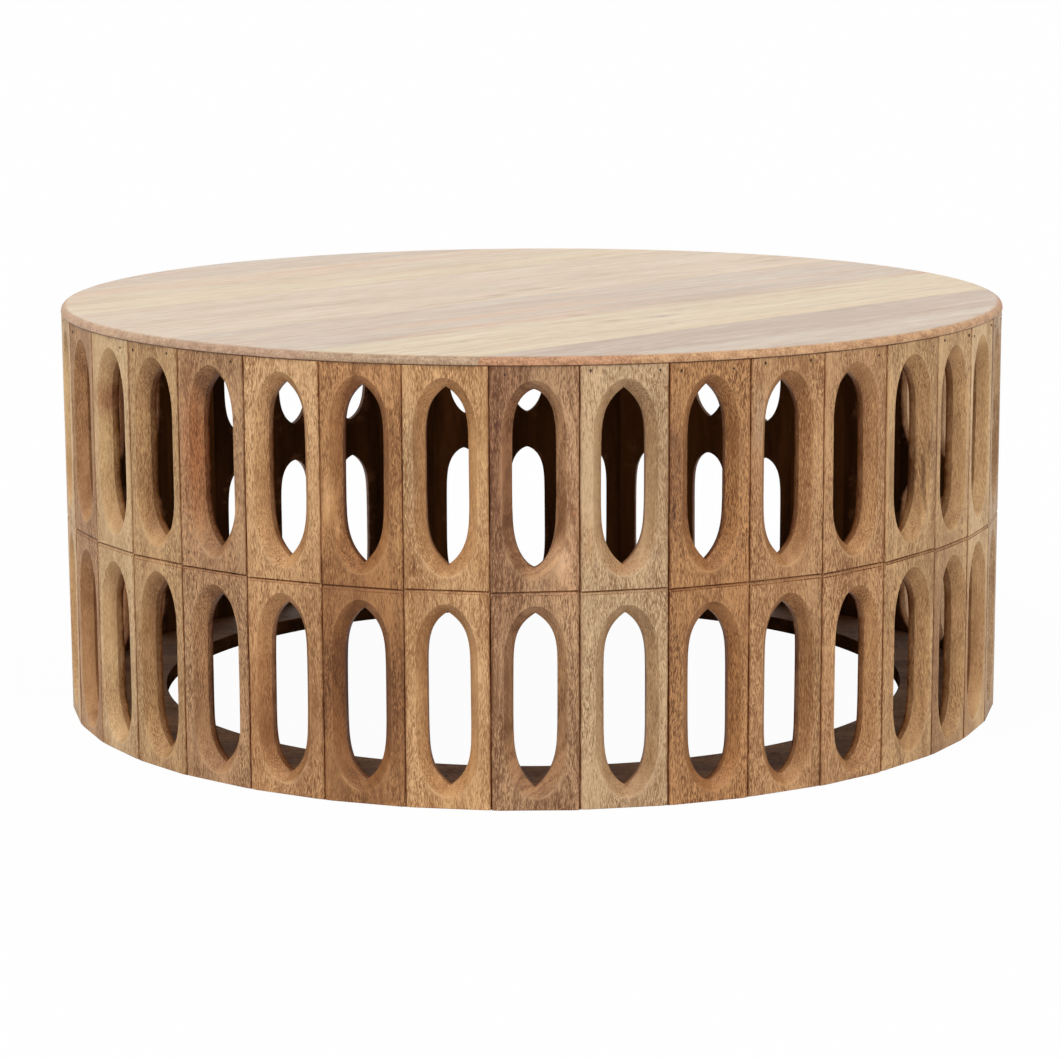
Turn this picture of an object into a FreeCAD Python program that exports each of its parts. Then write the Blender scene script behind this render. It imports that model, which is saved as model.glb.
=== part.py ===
import FreeCAD, Part
import math
import os

# A low round table built like a drum: a ring of upright flat staves with mitred long
# edges, each cut through by two tall pointed slots, a round top of edge-glued boards
# and a flat ring at the foot. The origin is on the floor at the drum's axis, +Z is up
# and -Y is the front. Lengths are in millimetres, angles in degrees.

# Drum
drum_diameter = 914.0
stave_length = 388.0
stave_thickness = 18.0
stave_edge_bevel = 1.5

# Widths of the staves next to each other, anticlockwise seen from above. They differ
# a little because the staves are cut by hand. The first one stands at the front, and
# its left seam lies at first_seam_turn from -Y.
stave_width_shares = (
    1.02, 1.03, 1.00, 1.01, 1.00, 1.04, 0.94, 0.95,
    1.02, 1.05, 1.03, 1.06, 1.02, 1.05, 1.03,
    0.94, 0.96, 0.96, 0.98, 0.97, 0.96, 0.87, 0.94, 1.03,
    1.01, 1.00, 1.02, 1.00, 1.01, 1.02, 1.02,
    0.98, 1.01, 0.99, 1.05, 1.02, 1.01, 1.00,
)
first_seam_turn = -4.6

# Slots, two in each stave. The hole has blunt points at both ends, and a broad bevel
# runs from it out to a longer mouth with rounded ends on the stave's face. Each end
# curve is worked in short straight steps. At a bluntness of 0 the points are sharp, at
# 1 the ends are round.
slot_height_shares = (0.25, 0.75)
slot_length = 154.0
slot_width = 38.5
slot_end_rise = 40.0
slot_bluntness_share = 0.35
slot_bevel_width = 8.5
slot_bevel_depth = 11.0
slot_end_steps = 5

# Groove round the middle of the drum. It slopes gently up and inwards to its deepest
# line, then comes out again over a short steep share of its width.
groove_edge_share = 0.5
groove_width = 4.5
groove_depth = 1.6
groove_steep_share = 0.2

# Top. The boards are rebated along the rim: a lip covers the ends of the staves, and
# the rest of the thickness drops inside them. The joints between the boards are given
# across the top, as shares of the drum's radius, from the front right to the back left.
top_thickness = 18.0
top_lip_height = 8.0
top_edge_bevel = 1.0
top_board_turn = 44.5
top_joint_shares = (-0.83, -0.64, -0.345, -0.015, 0.165, 0.42, 0.60, 0.785)

# Ring at the foot
foot_ring_thickness = 14.5
foot_ring_width = 75.0

# Glue gap between the staves and the round pieces inside them
seat_gap = 0.2
# Cutting shapes run this far past the wood
overrun = 5.0

drum_radius = drum_diameter / 2
total_height = stave_length + top_lip_height


def stave_angles():
    """Middle and half width of each stave, as angles from -Y, anticlockwise."""
    angles = []
    seam = first_seam_turn
    for share in stave_width_shares:
        half = 360.0 * share / sum(stave_width_shares) / 2
        angles.append((seam + half, half))
        seam += 2 * half
    return angles


def face_distance(half_angle):
    """From the axis to the flat outer face of a stave with this half width."""
    return drum_radius * math.cos(math.radians(half_angle))


def seat_radius():
    """Radius of the round pieces that the staves stand against."""
    widest = max(half for middle, half in stave_angles())
    return face_distance(widest) - stave_thickness - seat_gap


def polygon_wire(points):
    return Part.makePolygon(points + points[:1])


def polygon_face(points):
    return Part.Face(polygon_wire(points))


def stave_blank(half_angle):
    """A stave without its cuts, on the +Y side of the axis."""
    outer = face_distance(half_angle)
    side = outer - stave_edge_bevel
    inner = outer - stave_thickness
    slope = math.tan(math.radians(half_angle))
    right = [
        (inner * slope, inner),
        (side * slope, side),
        (outer * slope - stave_edge_bevel, outer),
    ]
    left = [(-x, y) for x, y in reversed(right)]
    section = polygon_face([FreeCAD.Vector(x, y, 0) for x, y in right + left])
    return section.extrude(FreeCAD.Vector(0, 0, stave_length))


def end_curve(share, half_width, rise, bluntness):
    """A point of a slot's end, from its side (0) to its tip (1)."""
    radius = (half_width ** 2 + rise ** 2) / (2 * half_width)
    lean = share * math.asin(rise / radius)
    sharp = (half_width - radius * (1 - math.cos(lean)), radius * math.sin(lean))
    turn = share * math.pi / 2
    round_end = (half_width * math.cos(turn), rise * math.sin(turn))
    return [(1 - bluntness) * a + bluntness * b for a, b in zip(sharp, round_end)]


def slot_outline(border, bluntness, distance, height):
    """The points round a slot, this far outside the hole, in a plane off the axis."""
    half_width = slot_width / 2 + border
    rise = slot_end_rise + border
    shares = [step / slot_end_steps for step in range(slot_end_steps + 1)]
    quarter = [end_curve(share, half_width, rise, bluntness) for share in shares]
    straight = slot_length / 2 - slot_end_rise
    top = quarter + [(-x, z) for x, z in reversed(quarter[:-1])]
    upper = [(x, straight + z) for x, z in top]
    lower = [(-x, -z) for x, z in upper]
    return [FreeCAD.Vector(x, distance, height + z) for x, z in upper + lower]


def slot_mouth(mouth, hole):
    """The bevelled part of a slot, as a solid of flat faces between two outlines."""
    faces = [polygon_face(mouth), polygon_face(hole)]
    for index in range(len(mouth)):
        after = (index + 1) % len(mouth)
        faces.append(polygon_face([mouth[index], mouth[after], hole[index]]))
        faces.append(polygon_face([mouth[after], hole[after], hole[index]]))
    solid = Part.makeSolid(Part.makeShell(faces))
    if solid.Volume < 0:
        solid.reverse()
    return solid


def slot_cutters(height, outer):
    """The mouth and the straight hole of one slot."""
    mouth = slot_outline(slot_bevel_width, 1, outer, height)
    hole = slot_outline(0, slot_bluntness_share, outer - slot_bevel_depth, height)
    depth = stave_thickness - slot_bevel_depth + overrun
    shaft = polygon_face(hole).extrude(FreeCAD.Vector(0, -depth, 0))
    return [slot_mouth(mouth, hole), shaft]


def groove_cutter(outer):
    """The lopsided V groove across the face of a stave, cut from outside."""
    edge = groove_edge_share * stave_length
    deepest = edge - groove_steep_share * groove_width
    reach = (groove_depth + overrun) / groove_depth
    upper = deepest + reach * (edge - deepest)
    lower = deepest - reach * (groove_width - (edge - deepest))
    section = polygon_face([
        FreeCAD.Vector(-drum_radius, outer + overrun, lower),
        FreeCAD.Vector(-drum_radius, outer + overrun, upper),
        FreeCAD.Vector(-drum_radius, outer - groove_depth, deepest),
    ])
    return section.extrude(FreeCAD.Vector(drum_diameter, 0, 0))


def make_stave(middle, half_angle):
    """A stave in its place, with its slots and its part of the groove."""
    outer = face_distance(half_angle)
    cutters = [groove_cutter(outer)]
    for share in slot_height_shares:
        cutters.extend(slot_cutters(share * stave_length, outer))
    stave = stave_blank(half_angle)
    for cutter in cutters:
        stave = stave.cut(cutter)
    stave.rotate(FreeCAD.Vector(0, 0, 0), FreeCAD.Vector(0, 0, 1), 180 + middle)
    return stave


def make_top_disc():
    """The whole round top, with its rebated and eased rim."""
    seat = seat_radius()
    bottom = total_height - top_thickness
    profile = [
        (0, bottom),
        (seat, bottom),
        (seat, stave_length),
        (drum_radius, stave_length),
        (drum_radius, total_height - top_edge_bevel),
        (drum_radius - top_edge_bevel, total_height),
        (0, total_height),
    ]
    section = polygon_face([FreeCAD.Vector(radius, 0, z) for radius, z in profile])
    return section.revolve(FreeCAD.Vector(0, 0, 0), FreeCAD.Vector(0, 0, 1), 360)


def make_top_boards():
    """The boards of the top, cut from the disc side by side."""
    disc = make_top_disc()
    reach = drum_radius + overrun
    joints = [-reach] + [share * drum_radius for share in top_joint_shares] + [reach]
    boards = []
    for near, far in zip(joints[:-1], joints[1:]):
        corner = FreeCAD.Vector(-reach, near, stave_length - top_thickness)
        strip = Part.makeBox(2 * reach, far - near, 2 * top_thickness, corner)
        strip.rotate(FreeCAD.Vector(0, 0, 0), FreeCAD.Vector(0, 0, 1), top_board_turn)
        boards.append(disc.common(strip))
    return boards


def make_foot_ring():
    """The flat ring inside the foot of the staves."""
    outer = seat_radius()
    disc = Part.makeCylinder(outer, foot_ring_thickness)
    opening = Part.makeCylinder(outer - foot_ring_width, foot_ring_thickness)
    return disc.cut(opening)


def make_pieces():
    """Every piece of the table, by its name."""
    pieces = {}
    for number, (middle, half) in enumerate(stave_angles(), 1):
        pieces[f"stave_{number:02d}"] = make_stave(middle, half)
    for number, board in enumerate(make_top_boards(), 1):
        pieces[f"top_board_{number:02d}"] = board
    pieces["foot_ring"] = make_foot_ring()
    return pieces


os.makedirs("parts", exist_ok=True)
for name, shape in make_pieces().items():
    shape.exportStep(f"parts/{name}.step")
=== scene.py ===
import math
import random

import bpy
import numpy as np
from mathutils import Matrix, Vector


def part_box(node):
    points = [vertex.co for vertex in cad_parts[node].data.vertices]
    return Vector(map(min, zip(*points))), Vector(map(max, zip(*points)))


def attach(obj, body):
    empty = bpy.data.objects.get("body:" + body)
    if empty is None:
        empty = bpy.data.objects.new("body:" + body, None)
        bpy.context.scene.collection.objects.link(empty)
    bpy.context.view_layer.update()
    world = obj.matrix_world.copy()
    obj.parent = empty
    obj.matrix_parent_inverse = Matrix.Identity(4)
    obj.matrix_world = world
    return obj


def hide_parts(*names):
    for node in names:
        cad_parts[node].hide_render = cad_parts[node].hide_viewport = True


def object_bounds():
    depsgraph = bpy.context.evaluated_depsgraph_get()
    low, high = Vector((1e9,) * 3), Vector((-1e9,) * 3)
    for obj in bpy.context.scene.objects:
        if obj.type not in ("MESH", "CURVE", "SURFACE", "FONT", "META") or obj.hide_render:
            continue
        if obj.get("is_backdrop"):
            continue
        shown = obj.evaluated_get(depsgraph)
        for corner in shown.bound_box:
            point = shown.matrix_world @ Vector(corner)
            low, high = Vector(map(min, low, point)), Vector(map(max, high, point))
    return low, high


# The drum table dressed for pictures. Lengths are in metres where no comment says otherwise.

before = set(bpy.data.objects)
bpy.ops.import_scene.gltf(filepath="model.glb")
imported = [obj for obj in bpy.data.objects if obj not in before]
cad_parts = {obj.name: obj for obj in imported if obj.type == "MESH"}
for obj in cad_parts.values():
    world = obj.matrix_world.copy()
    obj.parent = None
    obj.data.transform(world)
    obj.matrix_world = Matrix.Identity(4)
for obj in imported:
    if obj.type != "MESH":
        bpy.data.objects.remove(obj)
cad_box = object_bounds()

millimetre = 0.001

# Sizes of the drum, read from the frame
drum_radius = cad_box[1].x
total_height = cad_box[1].z
stave_names = sorted(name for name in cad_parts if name.startswith("stave_"))
board_names = sorted(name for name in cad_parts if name.startswith("top_board_"))
top_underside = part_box(board_names[0])[0].z
stave_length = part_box(stave_names[0])[1].z
ring_low, ring_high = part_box("foot_ring")
seat_radius = ring_high.x

# Staves: their thickness, the rounding of their long edges, the gap between two of them, how
# deep it is open and how far below that it closes, and the rounding of their ends
stave_thickness = 0.018
seam_edge = 0.0024
seam_gap = 0.00010
seam_gap_depth = 0.0032
seam_gap_floor = 0.001
end_edge = 0.0006

# Uneven work, least and most: how far a stave's top is down, its foot up and its face in, and
# the shares that the gaps in its seams are open
top_drops = (0.0, 0.0003)
foot_lifts = (0.0, 0.0009)
face_sinks = (0.0, 0.0006)
seam_gap_shares = (0.2, 2.2)
least_gap_share = 0.1

# Waves in a seam's gap, as shares and rates per metre. Then those in the face, their height
# and rates: across and up, and up and across.
gap_waves = ((0.8, 46), (0.6, 117))
face_wave = 0.00007
face_wave_rates = (70, 17, 31, 40)
phase_limit = 6.28

# Slots
slot_heights = (0.25 * stave_length, 0.75 * stave_length)
slot_length = 0.154
slot_width = 0.0385
end_rise = 0.040
bevel_width = 0.0085
bevel_depth = 0.011

# How far hand work puts a slot off: its place (x, z), half width, half length and bevel in
# metres, its tilt in degrees, and the waves in its two outlines
place_scatter = (1.5 * millimetre, 1.0 * millimetre)
width_scatter = 0.0003
length_scatter = 0.0005
bevel_scatter = 0.0005
tilt_scatter = 0.4
hole_wobble = 0.0003
mouth_wobble = 0.0005
wobble_orders = (2, 3, 5)
slot_aspect = 4

# How blunt the ends of the slots are, as powers: lower and upper end of the lower slots,
# then of the upper ones
end_powers = ((5.2, 6.2), (5.0, 5.8))
power_shares = (0.9, 1.1)

# Least and most roundness of the slots that the photo doesn't show, where 1 is a point
unseen_roundness = (0.60, 0.85)

# Groove round the middle: a gentle slope up and inwards, then a short steep side
groove_edge = 0.5 * stave_length
groove_width = 0.0045
groove_depth = 0.0016
groove_steep = 0.0009
groove_tilts = (-0.015, 0.025)
groove_shifts = (-0.0008, 0.0006)
groove_width_shares = (0.75, 1.1)

# Rows across the groove, from below: the line that each follows (0 lower edge, 1 deepest line, 2
# upper edge), how far above it, share of the depth and stain, which paints shade into the groove.
# On some staves the first two are darker, painted shade under the groove's upper side.
groove_rows = (
    (0, 0.0002, 0.16, 0.50), (0, 0.0007, 0.28, 0.36), (0, 0.0012, 0.34, 0.10),
    (1, -0.0008, 0.80, 0.15), (1, -0.0004, 1.0, 0.70), (1, 0.0003, 1.0, 0.90),
    (2, -0.0001, 0.30, 0.50),
)
groove_cut = 0.4
dark_rows = 2
dark_gain = 1.7
dark_lower_lines = range(3, 9)

# Boards of the top, seen from above: they run along board_turn from +X
board_turn = math.radians(44.5)
board_joints = (-0.83, -0.64, -0.345, -0.015, 0.165, 0.42, 0.60, 0.785)
joint_edge = 0.0003
joint_gap = 0.00005
board_rows = 6
board_columns = 48
# A board reaches no further across than this share of the radius
board_limit_share = math.sin(math.radians(88.5))

# Rim of the top: its rounded edge as turns in degrees with their stain, which is the darker end
# grain, then its flat side, which stands a little above and outside a line of painted shadow over
# the staves
rim_edge = 0.0075
rim_drop = 0.0062
rim_stain = 0.42
rim_turns = (
    (12, 0.02), (22, 0.20), (34, 0.38), (48, 0.40), (62, rim_stain), (76, rim_stain),
    (90, rim_stain),
)
rim_foot = 0.0010
shadow_line = 0.0002
shadow_inset = 0.0007

# The slots that the photo shows, by stave, lower and upper slot. In millimetres: how far they
# lie off the middle of their stave and height, as (x, z), and how much longer and wider they
# are on either side of it. Then the roundness of their lower and upper ends.
seen_slots = {
    32: ((0, -4, 1, 0, 1, 1), (0, 0, 0, 0, 1, 1)),
    33: ((-2, -3.3, 1.1, 1, 1, 1), (0, 0, 0, 0, 1, 1)),
    34: ((-0.5, -1.5, 1.4, 0, 1, 1), (0, 0, 0, 0, 1, 1)),
    35: ((-0.5, -2.4, 0.8, 0, 1, 1), (0.4, 0, 0, -1.1, 1, 1)),
    36: ((-2.4, -1, -0.4, -0.8, 0.82, 1), (-0.5, -0.9, 0.3, -0.8, 1, 1)),
    37: ((-2.2, -0.3, 0, 0, 0.84, 1), (-1.5, -0.3, 0.5, -0.6, 1, 1)),
    38: ((-0.6, -1.2, 0, -0.5, 1, 1), (-0.6, 0.2, 0.3, -0.4, 1, 1)),
    1: ((0.1, -1.4, 0.7, -0.6, 1, 1), (-0.2, -1.4, 0.5, -0.5, 0.72, 0.72)),
    2: ((2.7, -2.2, -0.5, -0.3, 0.88, 1), (1, -0.8, 0, 0, 1, 1)),
    3: ((3.5, -3.2, 0, 0, 0.72, 1), (0.8, -0.4, 0, -1.7, 1, 1)),
    4: ((2.9, -4.3, 1.5, -1.2, 0.72, 1), (0.4, -1.6, 0.5, -1.1, 1, 1)),
    5: ((5.2, -5.5, 0.5, -0.8, 0.78, 0.66), (0.9, -0.9, 0.3, -0.8, 0.85, 1)),
    6: ((5.2, -0.3, 0, 0, 1, 1), (0.8, 0, 0, 0, 1, 1)),
    7: ((5.2, -2.5, 1.5, 0, 0.75, 1), (0.4, -0.5, 0.5, 0, 0.75, 1)),
}

# Rows on a slot's wall, from the back: share of the thickness and stain, which is painted shade in
# the hole. Then on its bevel, from the hole out: share of the width, stain and cut; the stain is
# painted shade near the hole and, below zero, a painted highlight and wear at the mouth. Then on
# the face, from the mouth out: share of the way to the stave's edge and stain, a painted highlight
# at the mouth and painted shade at the seam.
wall_rows = ((1.0, 1.1), (0.85, 0.45), (bevel_depth / stave_thickness, 0.28))
bevel_rows = (
    (0.02, 0.14, 1.0), (0.35, 0.07, 1.0), (0.7, 0.04, 1.0), (0.94, 0.02, 0.8), (1.0, -0.11, 0.35),
)
face_rows = ((0.07, -0.06), (0.2, 0.0), (0.6, 0.0), (0.95, 0.0), (1.0, 0.06))

# Painted shade in the upper end of a bevel, which faces down, and how much less of it lies at the
# mouth, and a painted highlight, partly wear, at the lower end of the mouth, which faces up, on
# the bevel and on the face
upper_end_shade = 0.12
mouth_shade_loss = 0.6
bevel_highlight_and_wear = 0.20
face_highlight_and_wear = 0.16

# Rounded edges of a stave, as turns in degrees with their stain, which is painted shade and dark
# joints in the seams, and how this darkening differs from side to side and grows towards the foot
edge_turns = ((30, 0.20), (60, 0.62), (90, 0.92))
edge_shade_and_dirt_shares = (0.6, 1.05)
foot_darkening = 0.35

# Painted shade inside the drum: its stain is beyond 1, so that the wood there is painted dark
# throughout
inside_shade = 2.2

# Edges turn sharp where faces meet at more than this, in degrees
sharp_turn = 38.0

# Seeds of the random draws; the number of the stave or board is added to the first three
stave_seed = 100
stave_wood_seed = 700
board_wood_seed = 300
nail_seed = 51

# How far from the middle of the solid wood a piece may be cut
wood_offset_limit = 9

# Counts of points in a quarter of a slot's loops
straight_steps = 3
arc_steps = 14
side_arc_steps = 6


class Sheet:
    """Vertices, faces and two marks per vertex, gathered for one mesh.

    The stain tells how dark a place is painted: from dirt and dark joints, and as painted shade in
    recesses, seams, grooves and inside the drum; below zero it tells how much paler a place is
    from wear and painted highlight. The cut tells where a surface was cut smoothly."""

    def __init__(self):
        self.points = []
        self.marks = {"shade_and_stain": [], "cut": []}
        self.faces = []

    def add(self, points, shade_and_stain=0.0, cut=0.0):
        """Adds a row of points and gives their numbers."""
        first = len(self.points)
        self.points.extend(tuple(point) for point in points)
        for mark, value in (("shade_and_stain", shade_and_stain), ("cut", cut)):
            self.marks[mark].extend(np.broadcast_to(value, len(points)))
        return list(range(first, len(self.points)))

    def strip(self, near, far, closed=True):
        """Faces between two rows with as many points."""
        count = len(near)
        for i in range(count if closed else count - 1):
            j = (i + 1) % count
            self.faces.append((near[i], near[j], far[j], far[i]))

    def skin(self, rows, closed=True, flip=False):
        """Faces between each row and the next, turned to the other side if flipped."""
        for near, far in zip(rows[:-1], rows[1:]):
            if flip:
                near, far = far, near
            self.strip(near, far, closed)

    def build(self, name):
        """A smooth-shaded object with sharp edges where faces turn sharply."""
        mesh = bpy.data.meshes.new(name)
        mesh.from_pydata(self.points, [], self.faces)
        mesh.validate()
        for mark, values in self.marks.items():
            attribute = mesh.attributes.new(mark, "FLOAT", "POINT")
            attribute.data.foreach_set("value", np.array(values, np.float32))
        mesh.shade_smooth()
        mesh.set_sharp_from_angle(angle=math.radians(sharp_turn))
        piece = bpy.data.objects.new(name, mesh)
        bpy.context.scene.collection.objects.link(piece)
        return piece


def stave_span(name):
    """Middle and half width of a stave as angles about the axis, from -Y."""
    points = np.array([v.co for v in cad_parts[name].data.vertices])
    centre = points.mean(axis=0)
    rough = math.atan2(centre[0], -centre[1])
    angles = np.arctan2(points[:, 0], -points[:, 1]) - rough
    angles = (angles + math.pi) % (2 * math.pi) - math.pi
    return rough + (angles.max() + angles.min()) / 2, (angles.max() - angles.min()) / 2


def whole_ring(upper, lower):
    """A closed loop from two quarters, each given from the side to the end."""
    return np.concatenate([
        upper[:-1],
        upper[::-1][:-1] * (-1, 1),
        lower[:-1] * (-1, -1),
        lower[::-1][:-1] * (1, -1),
    ])


quarter_turns = np.linspace(0, math.pi / 2, arc_steps + 1)


def quarter_heights(straight, rise):
    side = np.linspace(0, straight, straight_steps, endpoint=False)
    return np.concatenate([side, straight + rise * np.sin(quarter_turns)])


def hole_quarter(half_width, half_length, power, roundness):
    """A quarter of the hole's outline: bowed sides that meet in a point, or below a
    roundness of 1 in a round end."""
    heights = quarter_heights(half_length - end_rise, end_rise)
    widths = half_width * np.maximum(1 - (heights / half_length) ** power, 0) ** roundness
    return np.column_stack([widths, heights])


def mouth_quarter(half_width, half_length):
    """A quarter of the mouth's outline, which has round ends."""
    rise = end_rise + bevel_width
    heights = quarter_heights(half_length - rise, rise)
    widths = np.concatenate([np.ones(straight_steps), np.cos(quarter_turns)]) * half_width
    return np.column_stack([widths, heights])


side_steps = straight_steps + side_arc_steps
quarter_steps = straight_steps + arc_steps
corner_ne = side_steps
corner_nw = 2 * quarter_steps - side_steps
corner_sw = 2 * quarter_steps + side_steps
corner_se = 4 * quarter_steps - side_steps


def panel_quarter(half_width, half_height, mouth):
    """A quarter of the panel round a slot, its points spread like the mouth's."""
    split = mouth[side_steps]
    side = [(half_width, half_height * z / split[1]) for x, z in mouth[:side_steps + 1]]
    end = [(half_width * x / split[0], half_height) for x, z in mouth[side_steps + 1:]]
    return np.array(side + end)


def wobble(loop, rng, size):
    """Moves a loop in and out a little, as hand work does."""
    turn = np.arctan2(loop[:, 1], loop[:, 0] * slot_aspect)
    move = sum(
        rng.uniform(-size, size) * np.sin(k * turn + rng.uniform(0, phase_limit)) / k
        for k in wobble_orders
    )
    lengths = np.maximum(np.hypot(loop[:, 0], loop[:, 1]), 1e-6)
    return loop + loop * (move / lengths)[:, None]


class Stave:
    """Builds one stave in its own frame: X across, -Y outwards, Z up."""

    def __init__(self, half_angle, number):
        rng = random.Random(stave_seed + number)
        self.rng = rng
        self.number = number
        self.slope = math.tan(half_angle)
        self.outer = drum_radius * math.cos(half_angle)
        self.sheet = Sheet()
        self.half_width = self.outer * self.slope - seam_edge
        self.rear_share = (self.outer - stave_thickness) * self.slope / self.half_width
        self.top = stave_length - rng.uniform(*top_drops)
        self.bottom = rng.uniform(*foot_lifts)
        self.sink = rng.uniform(*face_sinks)
        self.groove_tilt = rng.uniform(*groove_tilts)
        self.groove_edge = groove_edge + rng.uniform(*groove_shifts)
        self.groove_width = groove_width * rng.uniform(*groove_width_shares)
        self.wave = [rng.uniform(0, phase_limit) for _ in range(4)]

    def off(self, limit):
        """A random amount either way, up to this limit."""
        return self.rng.uniform(-limit, limit)

    def add(self, flat, depth, shade_and_stain=0.0, cut=0.0):
        """Adds a row of points (x, z) at a depth behind the flat outer face."""
        depths = np.broadcast_to(depth, len(flat))
        points = np.column_stack([flat[:, 0], depths - self.outer, flat[:, 1]])
        return self.sheet.add(points, shade_and_stain, cut)

    def face_depth(self, flat):
        """The face isn't quite flat."""
        a, b, c, d = self.wave
        across, up, slant_up, slant_across = face_wave_rates
        x, z = flat[:, 0], flat[:, 1]
        waves = np.sin(across * x + a) * np.sin(up * z + b)
        waves = waves + np.sin(slant_up * z + c + slant_across * x + d)
        return self.sink + 2 * face_wave + face_wave * waves

    def groove_lines(self, x):
        """Lower edge, deepest line and upper edge of the groove, at x."""
        upper = self.groove_edge + self.groove_tilt * x
        return upper - self.groove_width, upper - groove_steep, upper

    def slot_place(self, upper):
        """Where the slot's middle lies, by hand and never quite in the middle."""
        x, z = (self.off(limit) for limit in place_scatter)
        if self.number in seen_slots:
            x, z = (value * millimetre for value in seen_slots[self.number][upper][:2])
        return np.array([x, slot_heights[upper] + z])

    def slot(self, upper, low, high):
        """The loops of one slot and of the panel round it."""
        rng = self.rng
        tilt = math.radians(self.off(tilt_scatter))
        turn = np.array([[math.cos(tilt), math.sin(tilt)], [-math.sin(tilt), math.cos(tilt)]])
        seen = seen_slots.get(self.number)
        longer, wider, *roundness = seen[upper][2:] if seen else (0.0, 0.0)
        half = slot_width / 2 + wider * millimetre + self.off(width_scatter)
        length = slot_length / 2 + longer * millimetre + self.off(length_scatter)
        bevel = bevel_width + self.off(bevel_scatter)
        powers = [power * rng.uniform(*power_shares) for power in end_powers[upper]]
        if not seen:
            roundness = [rng.uniform(*unseen_roundness)] * 2
        ends = [hole_quarter(half, length, *shape) for shape in zip(powers, roundness)]
        hole = whole_ring(ends[1], ends[0])
        mouth_part = mouth_quarter(half + bevel, length + bevel)
        mouth = whole_ring(mouth_part, mouth_part)
        middle = self.slot_place(upper)
        hole = wobble(hole, rng, hole_wobble) @ turn + middle
        mouth = wobble(mouth, rng, mouth_wobble) @ turn + middle
        panel_part = panel_quarter(self.half_width, (high - low) / 2, mouth_part)
        panel = whole_ring(panel_part, panel_part) + (0, (low + high) / 2)
        return hole, mouth, panel

    def panel(self, upper):
        """One half of the stave: its slot's wall and bevel, its face and its back."""
        low = groove_edge if upper else self.bottom + end_edge
        high = self.top - end_edge if upper else groove_edge
        hole, mouth, panel = self.slot(upper, low, high)
        top_side = slice(corner_ne, corner_nw + 1)
        bottom_side = slice(corner_sw, corner_se + 1)
        groove_side, end_side = (bottom_side, top_side) if upper else (top_side, bottom_side)
        lines = self.groove_lines(panel[groove_side, 0])
        panel[groove_side, 1] = lines[2] if upper else lines[0]

        rows = []
        # The slot's wall is painted dark as shade, darkest at the back
        for share, shade_and_stain in wall_rows:
            rows.append(self.add(hole, stave_thickness * share, shade_and_stain, 1.0))
        reach = (mouth[:, 1] - slot_heights[upper]) / (slot_length / 2)
        rise = np.clip(reach, 0, 1) ** 3
        fall = np.clip(-reach, 0, 1) ** 4
        for out, shade_and_stain, cut in bevel_rows:
            flat = hole + out * (mouth - hole)
            # Painted shade at the bevel's upper end, painted highlight and wear at its lower end
            shade_and_stain = shade_and_stain + upper_end_shade * rise * (1 - mouth_shade_loss * out)
            shade_and_stain = shade_and_stain - bevel_highlight_and_wear * fall * out ** 8
            depth = bevel_depth + out * (self.face_depth(mouth) - bevel_depth)
            rows.append(self.add(flat, depth, shade_and_stain, cut))
        for share, shade_and_stain in face_rows:
            flat = mouth + share * (panel - mouth)
            # Painted highlight and wear on the face just below the mouth
            shade_and_stain = shade_and_stain - face_highlight_and_wear * fall * (1 - share) ** 8
            rows.append(self.add(flat, self.face_depth(flat), shade_and_stain))
        self.sheet.skin(rows, flip=True)

        rear_flat = panel * (self.rear_share, 1)
        rear_flat[end_side, 1] = self.top if upper else self.bottom
        # The back of the stave, inside the drum, is painted dark as shade
        rear = self.add(rear_flat, stave_thickness, inside_shade)
        self.sheet.strip(rows[0], rear)
        return rows[-1], rear, panel

    def groove(self, xs):
        """Rows across the groove, front and back, from the lower edge up."""
        lines = self.groove_lines(xs)
        front = []
        rear = []
        # The groove's rows are painted dark as shade, most at the deepest line
        for row, (line, above, share, shade_and_stain) in enumerate(groove_rows):
            if row < dark_rows and self.number in dark_lower_lines:
                shade_and_stain = shade_and_stain * dark_gain
            flat = np.column_stack([xs, lines[line] + above])
            depth = self.sink + share * groove_depth
            front.append(self.add(flat, depth, shade_and_stain, groove_cut))
            # The groove's back, inside the drum, is painted dark as shade
            rear.append(self.add(flat * (self.rear_share, 1), stave_thickness, inside_shade))
        return front, rear

    def outline(self, lower, upper, rows):
        """Numbers round the whole stave, with the way out of each, as (x, z)."""
        right = lower[corner_se:] + lower[:corner_ne + 1] + [row[0] for row in rows]
        right += upper[corner_se:] + upper[:corner_ne + 1]
        top = upper[corner_ne + 1:corner_nw]
        left = upper[corner_nw:corner_sw + 1] + [row[-1] for row in rows[::-1]]
        left += lower[corner_nw:corner_sw + 1]
        bottom = lower[corner_sw + 1:corner_se]
        sides = ((right, (1, 0)), (top, (0, 1)), (left, (-1, 0)), (bottom, (0, -1)))
        ways = np.array([way for side, way in sides for _ in side], float)
        left_start = len(right) + len(top)
        ways[[0, left_start + len(left) - 1], 1] = -1
        ways[[len(right) - 1, left_start], 1] = 1
        return right + top + left + bottom, ways

    def edges(self, numbers, ways):
        """Rounds the outline over into the side faces. Returns the last row."""
        start = np.array([self.sheet.points[i] for i in numbers])
        own_depth = start[:, 1] + self.outer
        height = start[:, 2]
        gaps = {side: seam_gap * self.rng.uniform(*seam_gap_shares) for side in (1, -1)}
        gap = np.array([gaps.get(int(way[0]), 0.0) for way in ways])
        bumps = 0.0
        for (size, rate), phase in zip(gap_waves, self.wave):
            bumps = bumps + size * np.sin(rate * height + phase)
        gap = gap * np.maximum(1 + bumps, least_gap_share)
        edge = np.where(ways[:, 0] != 0, seam_edge, end_edge)
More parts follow.
